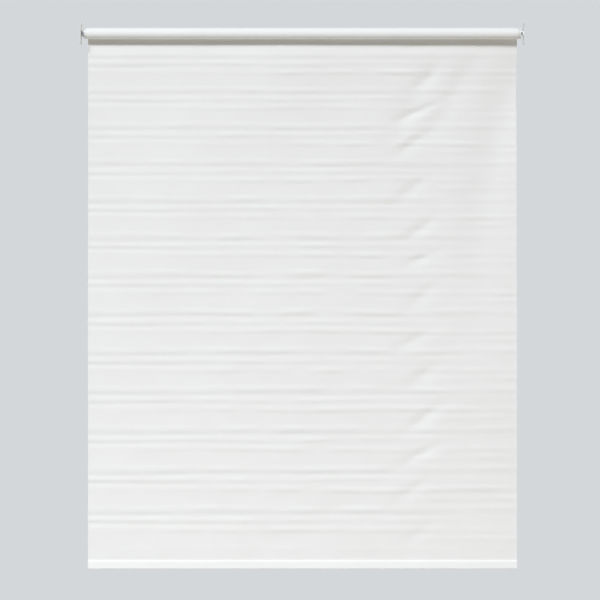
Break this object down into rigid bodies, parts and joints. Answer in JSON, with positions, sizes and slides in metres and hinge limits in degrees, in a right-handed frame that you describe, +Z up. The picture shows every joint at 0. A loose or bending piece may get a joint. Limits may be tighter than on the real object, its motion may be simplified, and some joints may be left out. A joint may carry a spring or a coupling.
{
  "type": "roller shade",
  "caption": "Spring roller shade: white vinyl cloth wound on a sprung tube with a ratchet, hung between wall brackets, with a slat in its hem.",
  "frame": {"origin": "middle of the slot bracket's screw holes on its mounting face, on the roller's axis", "axes": "+X along the roller to the pin bracket, +Y to the window, +Z up"},
  "size_m": [0.946, 0.0257, 1.167],
  "materials": {
    "enamel": "baked white enamel on stamped sheet",
    "tube_enamel": "white lacquer on rolled tube",
    "zinc": "zinc plated",
    "steel": "plain oiled steel",
    "timber": "bare softwood",
    "vinyl": "thin matt white vinyl cloth, slightly translucent"
  },
  "bodies": {
    "brackets": {"slot_bracket": "enamel", "pin_bracket": "enamel", "spear": "zinc", "ratchet_wheel": "steel", "rod_ferrule": "zinc", "spindle_rod": "timber", "winding_spring": "steel", "cloth_panel": "vinyl"},
    "roller": {"roller_tube": "tube_enamel", "spring_end_cap": "zinc", "spear_bush": "steel", "pawl_rivets": "zinc", "spring_plug": "timber", "plug_brads": "steel", "pin_end_cap": "zinc", "pin_plug": "timber", "gudgeon_pin": "steel", "cloth_roll": "vinyl"},
    "pawl_a": {"pawl_a": "steel"},
    "pawl_b": {"pawl_b": "steel"},
    "hem": {"hem_pocket": "vinyl", "hem_slat": "timber"}
  },
  "joints": [
    {"name": "roller_spin", "type": "hinge", "parent": "brackets", "child": "roller", "pos_m": [0.473, 0, 0], "axis": [1, 0, 0], "range_deg": [0, 4680]},
    {"name": "hem_lift", "type": "slide", "parent": "brackets", "child": "hem", "axis": [0, 0, 1], "range_m": [0, 1.0542], "deforming": ["cloth_panel"]},
    {"name": "pawl_a_swing", "type": "hinge", "parent": "roller", "child": "pawl_a", "pos_m": [0.0062, 0.00675, 0.0039], "axis": [1, 0, 0], "range_deg": [0, 10.5]},
    {"name": "pawl_b_swing", "type": "hinge", "parent": "roller", "child": "pawl_b", "pos_m": [0.0062, -0.00675, -0.0039], "axis": [1, 0, 0], "range_deg": [0, 10.5]}
  ],
  "couplings": [
    {"joint": "hem_lift", "follows": "roller_spin", "m_per_rad": 0.012905}
  ]
}
